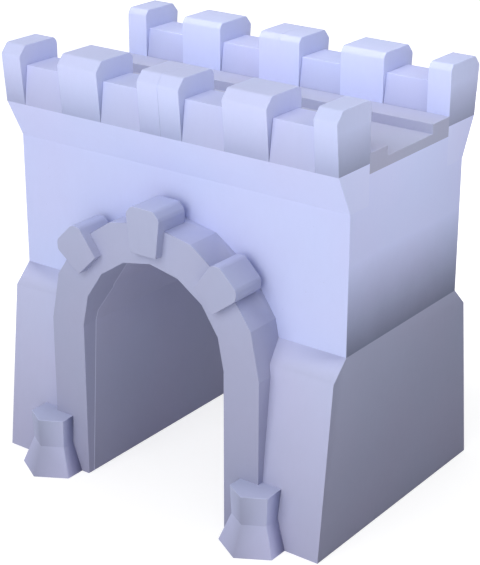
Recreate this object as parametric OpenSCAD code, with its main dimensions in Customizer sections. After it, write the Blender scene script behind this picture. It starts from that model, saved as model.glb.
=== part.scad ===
// Castle gate: a free-standing stone gate block with one arched passage, a battered base,
// a flared course under the parapet, and merlons and crenels along the front and the rear.
// Frame: millimetres, origin on the ground under the middle of the block, +Z up,
// X along the front, the front towards -Y. The rear repeats the front.

/* [Block] */
// Length of the whole block along the front
gate_w = 10000; // [8000:50:13000]
// Thickness of the wall above the base
wall_d = 5000; // [4200:50:6500]
// Height of the battered base, up to its sloping top
base_h = 4500; // [3600:50:5600]
// Height of the sloping top of the base
slope_h = 500; // [200:10:900]
// How far the sloping top steps in, each side
slope_in = 500; // [200:10:900]
// How far the base spreads outwards down to the ground, each side
batter = 500; // [200:10:900]
// Height of the plain wall between the base and the flared course
wall_h = 3500; // [2600:50:4600]

/* [Passage] */
// Radius of the passage arch, half the clear width
arch_r = 2210; // [1700:10:2700]
// How far the springing of the arch lies below the sloping top of the base
spring_drop = 280; // [100:10:900]
// Number of straight facets round the half circle
arch_facets = 8; // [6:2:12]
// Thickness of the vault over the passage
vault_t = 400; // [250:10:600]

/* [Arch surround] */
// Face width of the ring and of the jambs
ring_w = 1040; // [700:10:1250]
// Thickness of a jamb at the ground, where the base leans out to meet its face
jamb_foot_t = 200; // [100:10:400]

/* [Keystone and haunch stones] */
// How far the keystone and haunch stones stand out in front of the ring
key_proud = 250; // [100:10:400]
// Thickness of these stones from front to back
key_d = 1000; // [600:10:1150]
// Width of a stone at its foot
key_foot_w = 780; // [500:10:950]
// Width of a stone at its shoulders
key_shoulder_w = 1020; // [800:10:1200]
// Width of a stone across its flat head
key_head_w = 680; // [400:10:780]
// Height of the cut-off corners at the head
key_corner_h = 190; // [80:10:300]
// Height of the keystone
key_h = 1180; // [1000:10:1400]
// Depth of ring left below the keystone
key_lip = 300; // [150:10:400]
// Height of a haunch stone
haunch_h = 1020; // [900:10:1200]
// Depth of ring left below a haunch stone
haunch_lip = 345; // [150:10:420]
// Angle of the haunch stones from the crown
haunch_angle = 45; // [35:1:55]

/* [Guard stones] */
// Corner radius of the hexagonal foot on the ground
guard_foot_r = 925; // [700:5:1000]
// Corner radius at the waist
guard_waist_r = 600; // [450:5:640]
// Corner radius at the top
guard_top_r = 640; // [500:5:680]
// Height of the flared foot
guard_foot_h = 760; // [500:10:1000]
// Height of the whole guard stone
guard_h = 1530; // [1200:10:1900]
// How far its middle stands in front of the jamb face
guard_out = 75; // [0:5:200]

/* [Parapet] */
// Height of the flared course under the parapet
flare_h = 1000; // [600:50:1400]
// How far the flared course leans out
flare_out = 500; // [200:10:700]
// Thickness of the parapet at its foot
parapet_d = 1250; // [900:10:1500]
// Number of crenels on each side
crenels = 4; // [3:1:6]
// Width of a crenel
crenel_w = 1250; // [900:10:1600]
// Height of a merlon above the roof
merlon_h = 1500; // [1300:10:1900]
// Height of a crenel sill above the roof
sill_h = 1000; // [700:10:1150]
// How far a merlon leans out below its cut-off front edge
merlon_lean = 115; // [0:5:200]
// Height of the cut-off front edge of a merlon
merlon_cut_h = 250; // [100:10:400]
// Depth of the cut-off front edge of a merlon
merlon_cut_d = 220; // [100:10:350]
// How far a crenel sill leans in, on each face
sill_lean = 125; // [0:5:200]
// Height of the cut-off inner edge of a merlon
inner_cut_h = 120; // [50:5:200]
// Depth of the cut-off inner edge of a merlon
inner_cut_d = 100; // [50:5:200]

/* [Roof walk] */
// Thickness of the paved deck
deck_t = 250; // [150:10:350]
// Height of the step behind the parapet
step_h = 250; // [150:10:350]
// Width of the step behind the parapet
step_w = 750; // [400:10:900]

/* [Hidden] */
half_w = gate_w / 2;
spring_h = base_h - spring_drop;   // springing of the arch above the ground
base_top = base_h + slope_h;       // foot of the plain wall
wall_top = base_top + wall_h;      // foot of the flared course
roof_z = wall_top + flare_h;       // top of the deck
wall_y = wall_d / 2;
shelf_y = wall_y + slope_in;       // edge of the sloping top of the base
foot_y = shelf_y + batter;         // face of the base at the ground, and of the jambs
flare_y = wall_y + flare_out;      // outer face of the parapet foot
inner_y = flare_y - parapet_d;     // inner face of the parapet
walk_y = inner_y - step_w;         // edge of the deck, where the step begins
bed_top = roof_z - deck_t;         // top of the fill that carries the deck and the steps
ring_r = arch_r + ring_w;
vault_r = arch_r + vault_t;
key_y = foot_y + key_proud;
pitch = gate_w / crenels;
merlon_w = pitch - crenel_w;
over = 10;                         // how far a cutter runs past a face

// Where each merlon stone starts and ends along X, from left to right. The end merlons are
// half as wide as the others, and one that stands over the middle is two stones.
merlon_spans = [
    for (i = [0 : crenels])
        let (x0 = max(-half_w, -half_w + i * pitch - merlon_w / 2),
             x1 = min(half_w, -half_w + i * pitch + merlon_w / 2))
            each x0 < 0 && x1 > 0 ? [[x0, 0], [0, x1]] : [[x0, x1]]
];

UPPER = "#c4cdf2";
BASE = "#b4b8de";
DRESSED = "#a9add0";
DECK = "#adb0cd";

// Outward distance of the battered face at height z
function batter_y(z) = foot_y - batter * z / base_h;

// Points of the faceted half circle of radius r over the springing, from right to left
function arch_points(r) =
    [for (i = [0 : arch_facets]) let (a = 180 * i / arch_facets) [r * cos(a), spring_h + r * sin(a)]];

// A shape in (y, z) drawn along X from x0 to x1
module along_x(x0, x1) {
    translate([x0, 0, 0]) rotate([90, 0, 90]) linear_extrude(x1 - x0) children();
}

// A shape in (x, z) drawn along Y from y0 to y1
module along_y(y0, y1) {
    translate([0, y1, 0]) rotate([90, 0, 0]) linear_extrude(y1 - y0) children();
}

// The same thing at the rear, or on the right
module at_rear() { mirror([0, 1, 0]) children(); }
module at_right() { mirror([1, 0, 0]) children(); }

// Outline of the base from the side
module base_outline() {
    polygon([
        [-foot_y, 0], [foot_y, 0], [shelf_y, base_h], [wall_y, base_top],
        [-wall_y, base_top], [-shelf_y, base_h]
    ]);
}

// Half-round outline of radius r, closed along the springing
module arch_outline(r) { polygon(arch_points(r)); }

// ---- Masonry block ----

// Front jamb of the left side: plumb face, rear face laid against the battered base
module jamb() {
    color(DRESSED) along_x(-ring_r, -arch_r) polygon([
        [-foot_y, 0], [-foot_y + jamb_foot_t, 0], [-batter_y(spring_h), spring_h], [-foot_y, spring_h]
    ]);
}

// Left half of the battered base, cut back behind both jambs and under the vault
module base() {
    color(BASE) difference() {
        along_x(-half_w, -arch_r) base_outline();
        jamb();
        at_rear() jamb();
        along_y(-foot_y, foot_y) arch_outline(vault_r);
    }
}

// Plain wall to the left of the arch
module side_wall() {
    color(UPPER) translate([-half_w, -wall_y, base_top]) cube([half_w - ring_r, wall_d, wall_h]);
}

// Plain wall over the arch
module middle_wall() {
    color(UPPER) difference() {
        translate([-ring_r, -wall_y, base_top]) cube([2 * ring_r, wall_d, wall_h]);
        along_y(-wall_y - over, wall_y + over) arch_outline(vault_r);
    }
}

// Barrel vault over the passage, with its ends cut to the outline of the base and the wall
module passage_vault() {
    color(DRESSED) intersection() {
        difference() {
            along_y(-foot_y, foot_y) arch_outline(vault_r);
            along_y(-foot_y - over, foot_y + over) arch_outline(arch_r);
        }
        union() {
            along_x(-vault_r, vault_r) base_outline();
            translate([-vault_r, -wall_y, base_top]) cube([2 * vault_r, wall_d, wall_h]);
        }
    }
}

// Front flared course that carries the parapet
module flare() {
    color(UPPER) along_x(-half_w, half_w) polygon([
        [-wall_y, wall_top], [-inner_y, wall_top], [-inner_y, roof_z], [-flare_y, roof_z]
    ]);
}

// Fill between the two flared courses, under the deck
module roof_bed() {
    color(UPPER) translate([-half_w, -inner_y, wall_top])
        cube([gate_w, 2 * inner_y, bed_top - wall_top]);
}

// Paved deck of the roof walk, laid between the two steps
module roof_deck() {
    color(DECK) translate([-half_w, -walk_y, bed_top]) cube([gate_w, 2 * walk_y, deck_t]);
}

// Front step behind the parapet, bedded as deep as the deck
module step() {
    color(DECK) translate([-half_w, -inner_y, bed_top]) cube([gate_w, step_w, deck_t + step_h]);
}

// ---- Arch surround ----

// Cut-cornered wedge stone with its foot at radius r0, turned by angle about the springing line
module wedge_stone(r0, h, angle) {
    translate([0, 0, spring_h]) rotate([0, -angle, 0]) along_y(-key_y, -key_y + key_d) polygon([
        [-key_foot_w / 2, r0], [key_foot_w / 2, r0],
        [key_shoulder_w / 2, r0 + h - key_corner_h], [key_head_w / 2, r0 + h],
        [-key_head_w / 2, r0 + h], [-key_shoulder_w / 2, r0 + h - key_corner_h]
    ]);
}

module keystone() { color(DRESSED) wedge_stone(arch_r + key_lip, key_h, 0); }

module haunch() { color(DRESSED) wedge_stone(arch_r + haunch_lip, haunch_h, haunch_angle); }

// Front ring over the jambs, fitted to the base behind it and pocketed for the three stones
module ring() {
    color(DRESSED) difference() {
        along_y(-foot_y, -wall_y) arch_outline(ring_r);
        along_y(-foot_y - over, -wall_y + over) arch_outline(arch_r);
        along_x(-half_w, half_w) base_outline();
        keystone();
        haunch();
        at_right() haunch();
    }
}

// ---- Guard stones ----

// Front left guard stone: hexagonal, flared at the foot, cut to the base and the jamb behind it
module guard() {
    color(DRESSED) difference() {
        translate([-ring_r, -foot_y - guard_out, 0]) rotate([0, 0, 30]) {
            cylinder(h = guard_foot_h, r1 = guard_foot_r, r2 = guard_waist_r, $fn = 6);
            translate([0, 0, guard_foot_h])
                cylinder(h = guard_h - guard_foot_h, r1 = guard_waist_r, r2 = guard_top_r, $fn = 6);
        }
        along_x(-half_w, -arch_r) base_outline();
        jamb();
    }
}

// ---- Parapet ----

// Outline of a front merlon from the side
module merlon_outline() {
    top = roof_z + merlon_h;
    polygon([
        [-flare_y, roof_z], [-inner_y, roof_z], [-inner_y, top - inner_cut_h],
        [-inner_y - inner_cut_d, top], [-flare_y - merlon_lean + merlon_cut_d, top],
        [-flare_y - merlon_lean, top - merlon_cut_h]
    ]);
}

// Outline of a front crenel sill from the side
module sill_outline() {
    top = roof_z + sill_h;
    polygon([
        [-flare_y, roof_z], [-inner_y, roof_z], [-inner_y - sill_lean, top], [-flare_y + sill_lean, top]
    ]);
}

module merlon(span) { color(UPPER) along_x(span[0], span[1]) merlon_outline(); }

// Front crenel sills between the merlons
module sills() {
    color(UPPER) for (i = [1 : crenels]) {
        middle = -half_w + (i - 0.5) * pitch;
        along_x(middle - crenel_w / 2, middle + crenel_w / 2) sill_outline();
    }
}

base();  // left_base
at_right() base();  // right_base
side_wall();  // left_wall
at_right() side_wall();  // right_wall
middle_wall();
passage_vault();
flare();  // front_flare
at_rear() flare();  // rear_flare
roof_bed();
roof_deck();
step();  // front_step
at_rear() step();  // rear_step
jamb();  // front_left_jamb
at_right() jamb();  // front_right_jamb
at_rear() jamb();  // rear_left_jamb
at_rear() at_right() jamb();  // rear_right_jamb
ring();  // front_ring
at_rear() ring();  // rear_ring
keystone();  // front_keystone
at_rear() keystone();  // rear_keystone
haunch();  // front_left_haunch
at_right() haunch();  // front_right_haunch
at_rear() haunch();  // rear_left_haunch
at_rear() at_right() haunch();  // rear_right_haunch
guard();  // front_left_guard
at_right() guard();  // front_right_guard
at_rear() guard();  // rear_left_guard
at_rear() at_right() guard();  // rear_right_guard
sills();  // front_sills
at_rear() sills();  // rear_sills
for (i = [1 : len(merlon_spans)]) {
    merlon(merlon_spans[i - 1]);
    at_rear() merlon(merlon_spans[i - 1]);
}
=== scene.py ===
import math
import bmesh
import bpy
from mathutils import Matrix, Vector
from mathutils.bvhtree import BVHTree


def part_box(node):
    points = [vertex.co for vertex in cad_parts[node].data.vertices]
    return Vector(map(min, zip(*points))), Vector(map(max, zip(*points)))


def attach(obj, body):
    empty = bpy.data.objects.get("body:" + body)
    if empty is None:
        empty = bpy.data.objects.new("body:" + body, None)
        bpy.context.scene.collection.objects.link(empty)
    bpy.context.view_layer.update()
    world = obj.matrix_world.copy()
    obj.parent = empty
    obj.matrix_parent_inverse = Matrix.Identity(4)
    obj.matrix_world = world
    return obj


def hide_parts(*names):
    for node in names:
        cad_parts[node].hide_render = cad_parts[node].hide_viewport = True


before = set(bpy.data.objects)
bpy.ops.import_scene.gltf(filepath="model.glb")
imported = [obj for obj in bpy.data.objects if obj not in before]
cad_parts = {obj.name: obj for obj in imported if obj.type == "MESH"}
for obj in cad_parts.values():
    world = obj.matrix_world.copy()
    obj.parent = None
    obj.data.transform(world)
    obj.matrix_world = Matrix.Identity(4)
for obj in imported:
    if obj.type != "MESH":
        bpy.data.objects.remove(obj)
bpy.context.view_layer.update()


# ---- Base ----
# Two battered masses of rubble faced with limewashed blue-grey stone, one each side of the passage.
# Each stands on the ground and steps in by a slope at its head, and its free arrises are worn round.

skins = {
    name: BVHTree.FromPolygons([v.co for v in node.data.vertices], [p.vertices for p in node.data.polygons])
    for name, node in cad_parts.items()
}


def bare(edge, node, twins=()):
    """True where no stone of the gate, apart from the twins, touches the edge."""
    start, end = (v.co for v in edge.verts)
    places = [start.lerp(end, share) for share in (0.1, 0.3, 0.5, 0.7, 0.9)]
    touch = 0.002
    others = [skin for name, skin in skins.items() if name not in (node, *twins)]
    return not any(skin.find_nearest(p, touch)[0] is not None for p in places for skin in others)


def worn_stone(node, finish, arris=0.014, shoulder=0.045, twins=(), lining=None, hewn=False):
    """Copies a stone, rounds its shoulders and its bare arrises, and sets it in place of the plain one.
    Joints with the twins are rounded too. Faces that look into the passage take the lining.
    A hewn stone keeps its level folds crisp, and is dressed smooth round its blunt corners."""
    weld, level = 0.00001, 0.001
    flat, fold, blunt, square = (math.radians(degrees) for degrees in (0.5, 5, 30, 62))
    crease = square if hewn else math.radians(50)
    bm = bmesh.new()
    bm.from_mesh(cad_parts[node].data)
    bmesh.ops.remove_doubles(bm, verts=bm.verts, dist=weld)
    bmesh.ops.dissolve_limit(bm, angle_limit=flat, verts=bm.verts, edges=bm.edges)
    shoulders = [e for e in bm.edges
                 if e.is_convex and blunt < e.calc_face_angle() < square and bare(e, node, twins)]
    if shoulders and not hewn:
        bmesh.ops.bevel(bm, geom=shoulders, affect="EDGES", offset=shoulder, segments=4, profile=0.5,
                        material=-1, clamp_overlap=True)
    worn = bm.faces.layers.float.new("arris")
    arrises = [e for e in bm.edges
               if e.is_convex and e.calc_face_angle() > square and bare(e, node, twins)]
    if arrises:
        rounded = bmesh.ops.bevel(bm, geom=arrises, affect="EDGES", offset=arris, segments=2, profile=0.5,
                                  material=-1, clamp_overlap=True)
        for face in rounded["faces"]:
            face[worn] = 1.0
    nearly_square_on = 0.9
    for face in bm.faces:
        face.smooth = True
        to_middle = -math.copysign(1.0, face.calc_center_median().x)
        lined = lining is not None and face.normal.x * to_middle > nearly_square_on
        face.material_index = 1 if lined else 0
    crisp = [hewn and abs(e.verts[0].co.z - e.verts[1].co.z) < level and e.calc_face_angle() > fold
             for e in bm.edges]
    mesh = bpy.data.meshes.new(node + "_masonry")
    bm.to_mesh(mesh)
    bm.free()
    mesh.set_sharp_from_angle(angle=crease)
    for edge, kept in zip(mesh.edges, crisp):
        edge.use_edge_sharp = edge.use_edge_sharp or kept
    for stone in (finish, lining):
        if stone:
            mesh.materials.append(stone)
    piece = bpy.data.objects.new(node + "_masonry", mesh)
    bpy.context.collection.objects.link(piece)
    true_faces = piece.modifiers.new("true_faces", "WEIGHTED_NORMAL")
    true_faces.keep_sharp = True
    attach(piece, "root")
    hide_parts(node)
    return piece


def new_group(name, inputs, outputs):
    """Starts a shader node group with its named sockets, and returns it with its two end nodes."""
    group = bpy.data.node_groups.new(name, "ShaderNodeTree")
    for label, kind, value in inputs:
        socket = group.interface.new_socket(label, in_out="INPUT", socket_type=kind)
        if value is not None:
            socket.default_value = value
    for label, kind in outputs:
        group.interface.new_socket(label, in_out="OUTPUT", socket_type=kind)
    return group, group.nodes.new("NodeGroupInput"), group.nodes.new("NodeGroupOutput")


def add(tree, kind, settings=(), values=(), links=()):
    """Adds a node with its settings, its socket values and the sockets that feed it."""
    node = tree.nodes.new("ShaderNode" + kind)
    for name, value in settings:
        setattr(node, name, value)
    for socket, value in values:
        node.inputs[socket].default_value = value
    for socket, source in links:
        tree.links.new(source, node.inputs[socket])
    return node


def limewash_group():
    """Thin limewash over stone: broad cloudy patches, fine sand grain and a few small pits."""
    group, given, made = new_group(
        "Limewash",
        [("Vector", "NodeSocketVector", None), ("Patch Depth", "NodeSocketFloat", 0.04),
         ("Grain Depth", "NodeSocketFloat", 0.03), ("Pit Share", "NodeSocketFloat", 0.1)],
        [("Tone", "NodeSocketFloat"), ("Warmth", "NodeSocketFloat"), ("Height", "NodeSocketFloat")])
    at = given.outputs["Vector"]
    patch = add(group, "TexNoise", values=[("Scale", 0.55), ("Detail", 3.0), ("Roughness", 0.55)],
                links=[("Vector", at)])
    warm = add(group, "TexNoise", [("noise_dimensions", "4D")],
               [("W", 7.0), ("Scale", 0.4), ("Detail", 2.0)], [("Vector", at)])
    brush = add(group, "Mapping", values=[("Scale", (1.0, 1.0, 0.28))], links=[("Vector", at)])
    stroke = add(group, "TexNoise", values=[("Scale", 9.0), ("Detail", 4.0), ("Roughness", 0.6)],
                 links=[("Vector", brush.outputs["Vector"])])
    sand = add(group, "TexNoise", values=[("Scale", 55.0), ("Detail", 3.0), ("Roughness", 0.65)],
               links=[("Vector", at)])
    cell = add(group, "TexVoronoi", [("feature", "F1")], [("Scale", 6.0)], [("Vector", at)])
    pit = add(group, "MapRange", [("interpolation_type", "SMOOTHSTEP")],
              [("From Min", 0.06), ("From Max", 0.15), ("To Min", 1.0), ("To Max", 0.0)],
              [("Value", cell.outputs["Distance"])])
    rare = add(group, "Math", [("operation", "LESS_THAN")],
               links=[(0, cell.outputs["Color"]), (1, given.outputs["Pit Share"])])
    pits = add(group, "Math", [("operation", "MULTIPLY")],
               links=[(0, pit.outputs["Result"]), (1, rare.outputs["Value"])])
    cloud = add(group, "Math", [("operation", "SUBTRACT")], [(1, 0.5)], [(0, patch.outputs["Fac"])])
    cloud_tone = add(group, "Math", [("operation", "MULTIPLY_ADD")], [(2, 1.0)],
                     [(0, cloud.outputs["Value"]), (1, given.outputs["Patch Depth"])])
    fine = add(group, "Math", [("operation", "ADD")],
               links=[(0, stroke.outputs["Fac"]), (1, sand.outputs["Fac"])])
    fine_mid = add(group, "Math", [("operation", "SUBTRACT")], [(1, 1.0)], [(0, fine.outputs["Value"])])
    fine_tone = add(group, "Math", [("operation", "MULTIPLY_ADD")],
                    links=[(0, fine_mid.outputs["Value"]), (1, given.outputs["Grain Depth"]),
                           (2, cloud_tone.outputs["Value"])])
    tone = add(group, "Math", [("operation", "MULTIPLY_ADD")], [(1, -0.06)],
               [(0, pits.outputs["Value"]), (2, fine_tone.outputs["Value"])])
    height = add(group, "Math", [("operation", "SUBTRACT")],
                 links=[(0, fine.outputs["Value"]), (1, pits.outputs["Value"])])
    group.links.new(tone.outputs["Value"], made.inputs["Tone"])
    group.links.new(warm.outputs["Fac"], made.inputs["Warmth"])
    group.links.new(height.outputs["Value"], made.inputs["Height"])
    return group


def foot_shade_group():
    """A ragged share of the height: 0 at the foot, 1 at the head. The finishes use it to paint the foot
    darker, as painted shade.
    """
    group, given, made = new_group(
        "Foot shade ramp",
        [("Vector", "NodeSocketVector", None), ("Foot", "NodeSocketFloat", 0.0),
         ("Head", "NodeSocketFloat", 1.0), ("Ragged", "NodeSocketFloat", 0.2)],
        [("Rise", "NodeSocketFloat")])
    at = given.outputs["Vector"]
    place = add(group, "SeparateXYZ", links=[("Vector", at)])
    edge = add(group, "TexNoise", values=[("Scale", 1.3), ("Detail", 4.0)], links=[("Vector", at)])
    shift = add(group, "Math", [("operation", "SUBTRACT")], [(1, 0.5)], [(0, edge.outputs["Fac"])])
    level = add(group, "Math", [("operation", "MULTIPLY_ADD")],
                links=[(0, shift.outputs["Value"]), (1, given.outputs["Ragged"]), (2, place.outputs["Z"])])
    rise = add(group, "MapRange", [("interpolation_type", "LINEAR")],
                links=[("Value", level.outputs["Value"]), ("From Min", given.outputs["Foot"]),
                       ("From Max", given.outputs["Head"])])
    group.links.new(rise.outputs["Result"], made.inputs["Rise"])
    return group


def wear_group():
    """Rubbed arrises: the paler stone shows where the limewash has gone, in broken patches."""
    group, given, made = new_group(
        "Arris wear",
        [("Vector", "NodeSocketVector", None), ("Arris", "NodeSocketFloat", 0.0),
         ("Amount", "NodeSocketFloat", 0.5)],
        [("Worn", "NodeSocketFloat")])
    broken = add(group, "TexNoise", values=[("Scale", 4.0), ("Detail", 5.0)],
                 links=[("Vector", given.outputs["Vector"])])
    share = add(group, "MapRange", [("interpolation_type", "SMOOTHSTEP")],
                [("From Min", 0.4), ("From Max", 0.6)], [("Value", broken.outputs["Fac"])])
    on_arris = add(group, "Math", [("operation", "MULTIPLY")],
                   links=[(0, share.outputs["Result"]), (1, given.outputs["Arris"])])
    worn = add(group, "Math", [("operation", "MULTIPLY")],
               links=[(0, on_arris.outputs["Value"]), (1, given.outputs["Amount"])])
    group.links.new(worn.outputs["Value"], made.inputs["Worn"])
    return group


limewash, foot_shade_ramp, arris_wear = limewash_group(), foot_shade_group(), wear_group()


def stone_finish(name, head, foot, foot_z, head_z, ragged=0.2, painted_end_light=(1.0, 1.0, 1.0), painted_top_light=1.0):
    """A limewashed stone: head and foot colours by height, the foot painted darker as painted shade, cloudy
    patches, grain, and worn arrises.
    The last two arguments paint light and shade by facing: the first gives how light the faces turned to
    either side are painted at the foot and at the head, and the share of the height over which the one fades
    into the other; the second gives how light the top faces are painted."""
    finish = bpy.data.materials.new(name)
    finish.use_nodes = True
    tree = finish.node_tree
    shader = tree.nodes["Principled BSDF"]
    coordinates = add(tree, "TexCoord")
    at = coordinates.outputs["Object"]
    wash = add(tree, "Group", [("node_tree", limewash)], links=[("Vector", at)])
    shade_height = add(tree, "Group", [("node_tree", foot_shade_ramp)],
                  [("Foot", foot_z), ("Head", head_z), ("Ragged", ragged)], [("Vector", at)])
    arris = add(tree, "Attribute", [("attribute_name", "arris")])
    wear = add(tree, "Group", [("node_tree", arris_wear)], [("Amount", 0.3)],
               [("Vector", at), ("Arris", arris.outputs["Fac"])])
    rise = shade_height.outputs["Rise"]
    low = add(tree, "Mix", [("data_type", "RGBA")], [("A", (*foot, 1.0)), ("B", (*head, 1.0))],
              [("Factor", rise)])
    # The faces turned to either side and the top faces take painted light and shade here, by which way they
    # face.
    facing = add(tree, "SeparateXYZ", links=[("Vector", coordinates.outputs["Normal"])])
    end = add(tree, "Math", [("operation", "ABSOLUTE")], links=[(0, facing.outputs["X"])])
    foot_share, head_share, faded = painted_end_light
    on_end = add(tree, "MapRange",
                 values=[("From Max", faded), ("To Min", foot_share), ("To Max", head_share)],
                 links=[("Value", rise)])
    upward = add(tree, "MapRange", values=[("To Min", 1.0), ("To Max", painted_top_light)],
                 links=[("Value", facing.outputs["Z"])])
    share = add(tree, "Mix", [("data_type", "FLOAT")],
                links=[("Factor", end.outputs["Value"]), ("A", upward.outputs["Result"]),
                       ("B", on_end.outputs["Result"])])
    shaded = add(tree, "VectorMath", [("operation", "SCALE")],
                 links=[(0, low.outputs["Result"]), ("Scale", share.outputs["Result"])])
    warmth = add(tree, "MapRange", values=[("From Min", 0.35), ("From Max", 0.65)],
                 links=[("Value", wash.outputs["Warmth"])])
    cast = add(tree, "Mix", [("data_type", "RGBA")],
               [("A", (0.99, 1.005, 1.0, 1.0)), ("B", (1.01, 0.992, 0.992, 1.0))],
               [("Factor", warmth.outputs["Result"])])
    tinted = add(tree, "Mix", [("data_type", "RGBA"), ("blend_type", "MULTIPLY")], [("Factor", 1.0)],
                 [("A", shaded.outputs["Vector"]), ("B", cast.outputs["Result"])])
    toned = add(tree, "VectorMath", [("operation", "SCALE")],
                links=[(0, tinted.outputs["Result"]), ("Scale", wash.outputs["Tone"])])
    rubbed = add(tree, "VectorMath", [("operation", "SCALE")], [("Scale", 1.12)],
                 [(0, toned.outputs["Vector"])])
    shown = add(tree, "Mix", [("data_type", "RGBA")],
                links=[("Factor", wear.outputs["Worn"]), ("A", toned.outputs["Vector"]),
                       ("B", rubbed.outputs["Vector"])])
    tree.links.new(shown.outputs["Result"], shader.inputs["Base Color"])
    dull = add(tree, "MapRange",
               values=[("From Min", 0.6), ("From Max", 1.4), ("To Min", 0.96), ("To Max", 0.84)],
               links=[("Value", wash.outputs["Height"])])
    tree.links.new(dull.outputs["Result"], shader.inputs["Roughness"])
    shader.inputs["Specular IOR Level"].default_value = 0.2
    bump = add(tree, "Bump", values=[("Strength", 0.35), ("Distance", 0.006)],
               links=[("Height", wash.outputs["Height"])])
    tree.links.new(bump.outputs["Normal"], shader.inputs["Normal"])
    return finish


base_low, base_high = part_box("left_base")
# The base stone is painted darker towards the foot and on its end faces, as painted shade.
base_finish = stone_finish("base stone", head=(0.50, 0.525, 0.74), foot=(0.39, 0.40, 0.56),
                           foot_z=base_low.z, head_z=base_high.z, ragged=0.5, painted_end_light=(0.72, 0.70, 1.0))
# The passage lining is the base stone painted much darker towards its foot, as painted shade inside the
# passage.
passage_shaded_finish = stone_finish("passage stone", head=(0.51, 0.53, 0.72), foot=(0.315, 0.32, 0.45),
                              foot_z=base_low.z, head_z=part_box("passage_vault")[1].z, ragged=0.5)
for node in ("left_base", "right_base"):
    worn_stone(node, base_finish, lining=passage_shaded_finish)


# ---- Plain wall ----
# The wall over the base and the arch, of the same rubble with a paler limewash, built in three lengths.
# The flared courses over it lean out and carry the parapets, and the fill between them the roof walk.

wall_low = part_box("left_wall")[0]
flare_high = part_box("front_flare")[1]
# The end faces of the wall are painted dark at the foot and lighter at the head, as painted shade and
# painted light.
wall_finish = stone_finish("wall stone", head=(0.575, 0.62, 0.91), foot=(0.55, 0.60, 0.885),
                           foot_z=wall_low.z, head_z=flare_high.z, painted_end_light=(0.36, 1.13, 0.5))
# The flares take a lighter copy of the wall stone, painted light against the shade under their outward lean,
# with the same painted end faces.
flare_lit_finish = stone_finish("flare stone", head=(0.62, 0.665, 0.96), foot=(0.60, 0.65, 0.95),
                            foot_z=wall_low.z, head_z=flare_high.z, painted_end_light=(0.36, 1.08, 0.5))
for node in ("left_wall", "middle_wall", "right_wall", "roof_bed"):
    worn_stone(node, wall_finish)
for node in ("front_flare", "rear_flare"):
    worn_stone(node, flare_lit_finish)


# ---- Passage vault ----
# A barrel vault of dressed stone in straight facets, built on the two bases and plastered smooth within.

# The vault takes the passage lining, painted darker towards its foot as painted shade.
worn_stone("passage_vault", passage_shaded_finish)


# ---- Arch surround ----
# Plumb jambs and a ring of dressed stone stand out from the battered faces, front and rear.
# The keystone and the haunch stones are set into pockets in the ring and stand out in front of it.

# The dressed stone is painted darker towards the foot as painted shade, and its side and top faces are
# painted lighter, as painted light.
dressed_finish = stone_finish("dressed stone", head=(0.405, 0.435, 0.61), foot=(0.315, 0.32, 0.455),
                              foot_z=base_low.z, head_z=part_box("front_keystone")[1].z, ragged=0.5,
                              painted_end_light=(1.1, 1.05, 1.0), painted_top_light=1.25)
for side in ("front", "rear"):
    for stone in ("left_jamb", "right_jamb", "ring", "keystone", "left_haunch", "right_haunch"):
        worn_stone(f"{side}_{stone}", dressed_finish, shoulder=0.075)


# ---- Mortar joints ----
# The joint behind each ring and its jambs shows in the passage as a thin line of pale lime mortar.
# It stands a little proud of the stone, and follows the rear edge of the surround from foot to foot.

mortar_finish = stone_finish("lime mortar", head=(0.62, 0.65, 0.82), foot=(0.58, 0.60, 0.76),
                             foot_z=base_low.z, head_z=base_high.z)
arch_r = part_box("right_base")[0].x
spring_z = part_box("front_ring")[0].z
half_joint, proud, bedded = 0.011, 0.003, 0.01
section = ((-half_joint, proud), (half_joint, proud), (half_joint, -bedded), (-half_joint, -bedded))


def surround_edge(side, inward):
    """Points along the rear edge of a surround, on the wall of the passage, from right foot to left foot."""
    near, digits = 0.001, 4
    rear_y = {}
    for stone in ("left_jamb", "right_jamb", "ring"):
        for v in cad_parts[f"{side}_{stone}"].data.vertices:
            if math.hypot(v.co.x, max(v.co.z - spring_z, 0.0)) < arch_r + near:
                spot = (round(v.co.x, digits), round(v.co.z, digits))
                rear_y[spot] = max(rear_y.get(spot, -math.inf), inward * v.co.y)

    def turn(spot):
        return (math.atan2(spot[1] - spring_z, spot[0]) + math.pi / 2) % math.tau

    return [Vector((x, inward * rear_y[x, z], z)) for x, z in sorted(rear_y, key=turn)]


for side, inward in (("front", 1.0), ("rear", -1.0)):
    bm = bmesh.new()
    rings = []
    for point in surround_edge(side, inward):
        out = Vector((point.x, 0.0, max(point.z - spring_z, 0.0))).normalized()
        rings.append([bm.verts.new(point + Vector((0.0, across, 0.0)) - out * depth)
                      for across, depth in section])
    for one, two in zip(rings, rings[1:]):
        for i, j in ((0, 1), (1, 2), (2, 3), (3, 0)):
            bm.faces.new((one[i], one[j], two[j], two[i]))
    bm.faces.new(rings[0])
    bm.faces.new(rings[-1])
    bmesh.ops.recalc_face_normals(bm, faces=bm.faces)
    mesh = bpy.data.meshes.new(side + "_pointing")
    bm.to_mesh(mesh)
    bm.free()
    mesh.materials.append(mortar_finish)
    piece = bpy.data.objects.new(side + "_pointing", mesh)
    bpy.context.collection.objects.link(piece)
    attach(piece, "root")


# ---- Guard stones ----
# Hexagonal stones at the foot of the jambs keep cart wheels off them. Each is one dressed block.

# The guard stones are painted darker towards the foot as painted shade, and their side faces and tops are
# painted much lighter, as painted light.
guard_finish = stone_finish("guard stone", head=(0.32, 0.34, 0.475), foot=(0.27, 0.275, 0.395),
                            foot_z=base_low.z, head_z=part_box("front_left_guard")[1].z,
                            painted_end_light=(2.2, 1.7, 1.0), painted_top_light=1.45)
for side in ("front", "rear"):
    for hand in ("left", "right"):
        worn_stone(f"{side}_{hand}_guard", guard_finish, arris=0.012, hewn=True)


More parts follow.
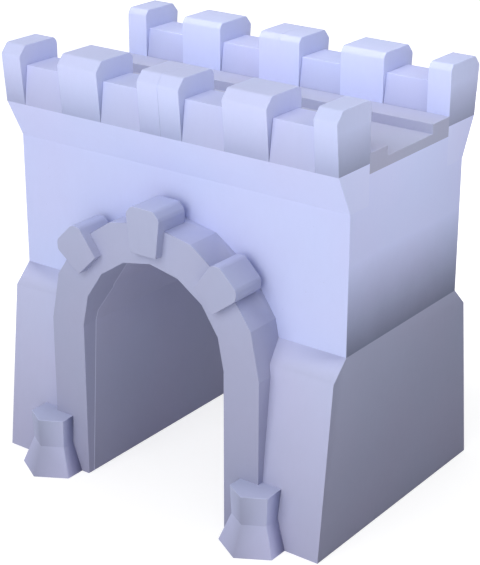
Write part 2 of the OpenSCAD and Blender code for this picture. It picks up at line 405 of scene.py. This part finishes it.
# ---- Roof walk ----
# Smooth paving laid between two low steps, which stand behind the parapets.

deck_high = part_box("front_step")[1]
deck_finish = stone_finish("deck stone", head=(0.43, 0.45, 0.62), foot=(0.42, 0.44, 0.60),
                           foot_z=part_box("roof_deck")[0].z, head_z=deck_high.z)
for node in ("roof_deck", "front_step", "rear_step"):
    worn_stone(node, deck_finish)


# ---- Parapets ----
# Merlons with cut-off heads, and sills between them whose faces lean in. Their feet are painted darker,
# as painted shade where they meet the walk. The middle merlon is two stones with a fine joint.

parapet_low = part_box("front_merlon_1")[0]
sill_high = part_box("front_sills")[1]
# The parapet stone's side faces and tops are painted darker, as painted shade, and its foot a little darker.
parapet_finish = stone_finish("parapet stone", head=(0.60, 0.65, 0.935), foot=(0.555, 0.605, 0.88),
                              foot_z=parapet_low.z, head_z=sill_high.z, ragged=0.15,
                              painted_end_light=(0.6, 0.95, 1.0), painted_top_light=0.88)
# The sills take a darker copy of the parapet stone, painted darker still towards their foot, as painted
# shade between the merlons.
sill_shade_finish = stone_finish("sill stone", head=(0.54, 0.58, 0.85), foot=(0.43, 0.46, 0.69),
                           foot_z=parapet_low.z, head_z=sill_high.z, ragged=0.15, painted_end_light=(0.9, 0.9, 1.0))
for side in ("front", "rear"):
    merlons = sorted(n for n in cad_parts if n.startswith(side + "_merlon"))
    worn_stone(side + "_sills", sill_shade_finish, arris=0.02, twins=merlons)
    for node in merlons:
        worn_stone(node, parapet_finish, twins=merlons)


# ---- Floor ----
# A plain pale floor. The camera sees it white, apart from the soft shadow close round the gate.

bm = bmesh.new()
bmesh.ops.create_circle(bm, cap_ends=True, segments=96, radius=90.0)
mesh = bpy.data.meshes.new("floor")
bm.to_mesh(mesh)
bm.free()
floor = bpy.data.objects.new("floor", mesh)
bpy.context.collection.objects.link(floor)
pale = bpy.data.materials.new("pale floor")
pale.use_nodes = True
tree = pale.node_tree
tree.nodes.remove(tree.nodes["Principled BSDF"])
seen = add(tree, "LightPath")
place = add(tree, "TexCoord")
away = add(tree, "VectorMath", [("operation", "LENGTH")], links=[(0, place.outputs["Object"])])
fade = add(tree, "MapRange", [("interpolation_type", "SMOOTHSTEP")],
           [("From Min", 7.0), ("From Max", 13.0), ("To Min", 0.7), ("To Max", 1.0)],
           [("Value", away.outputs["Value"])])
matt = add(tree, "BsdfDiffuse", values=[("Color", (0.8, 0.8, 0.82, 1.0))])
shadowed = add(tree, "BsdfDiffuse", values=[("Color", (0.45, 0.45, 0.45, 1.0))])
glow = add(tree, "Emission", values=[("Color", (1.0, 1.0, 1.0, 1.0))],
           links=[("Strength", fade.outputs["Result"])])
bright = add(tree, "AddShader", links=[(0, shadowed.outputs[0]), (1, glow.outputs[0])])
chosen = add(tree, "MixShader", links=[(0, seen.outputs["Is Camera Ray"]), (1, matt.outputs[0]),
                                       (2, bright.outputs[0])])
tree.links.new(chosen.outputs[0], tree.nodes["Material Output"].inputs["Surface"])
mesh.materials.append(pale)


# ---- Light ----
# Soft studio light: an even pale surround, two broad panels before the gate, one above it, one behind,
# a smaller one high on each side, and a narrow one that reaches the inner faces of the rear parapet.

def panel(name, place, aim, width, height, watts, spread=180):
    """Hangs a rectangular light at a place, turned to its aim. The camera doesn't see it."""
    lamp = bpy.data.lights.new(name, "AREA")
    lamp.shape = "RECTANGLE"
    lamp.size, lamp.size_y = width, height
    lamp.energy = watts
    lamp.spread = math.radians(spread)
    light = bpy.data.objects.new(name, lamp)
    light.location = place
    light.visible_camera = False
    light.rotation_euler = (Vector(aim) - Vector(place)).to_track_quat("-Z", "Y").to_euler()
    bpy.context.collection.objects.link(light)


middle = (0.0, 0.0, 5.5)
panel("front_panel", (2.0, -32.0, 11.0), middle, 34.0, 20.0, 3700.0)
panel("high_panel", (4.0, -28.0, 28.0), middle, 30.0, 12.0, 3800.0)
panel("top_panel", (0.0, 0.0, 34.0), middle, 30.0, 30.0, 2800.0)
panel("rear_panel", (0.0, 34.0, 8.0), middle, 30.0, 16.0, 3200.0)
panel("walk_panel", (0.0, -2.2, 14.6), (0.0, 3.0, 10.3), 10.0, 1.0, 45.0, spread=70)
for hand, side in (("right", 1), ("left", -1)):
    panel(hand + "_panel", (side * 12.0, 0.0, 14.0), (side * 5.0, 0.0, 9.0), 2.0, 9.0, 300.0)

world = bpy.data.worlds.new("surround")
world.use_nodes = True
bpy.context.scene.world = world
tree = world.node_tree
seen = add(tree, "LightPath")
either = add(tree, "Math", [("operation", "MAXIMUM")],
             links=[(0, seen.outputs["Is Camera Ray"]), (1, seen.outputs["Is Glossy Ray"])])
white = add(tree, "Math", [("operation", "MAXIMUM")],
            links=[(0, either.outputs["Value"]), (1, seen.outputs["Is Transmission Ray"])])
strength = add(tree, "MapRange", values=[("To Min", 0.3), ("To Max", 1.0)],
               links=[("Value", white.outputs["Value"])])
surround = tree.nodes["Background"]
surround.inputs["Color"].default_value = (1.0, 1.0, 1.0, 1.0)
tree.links.new(strength.outputs["Result"], surround.inputs["Strength"])


# ---- Camera ----
# It stands high in front of the right corner.

lens = bpy.data.cameras.new("camera")
lens.sensor_width = 36.0
lens.lens = 103.13
lens.shift_x = 0.00997
lens.shift_y = -0.04726
camera = bpy.data.objects.new("camera", lens)
camera.location = (23.184, -30.954, 20.953)
camera.rotation_euler = (math.radians(68.267), 0.0, math.radians(36.946))
bpy.context.collection.objects.link(camera)
bpy.context.scene.camera = camera
bpy.context.scene.view_settings.view_transform = "Standard"
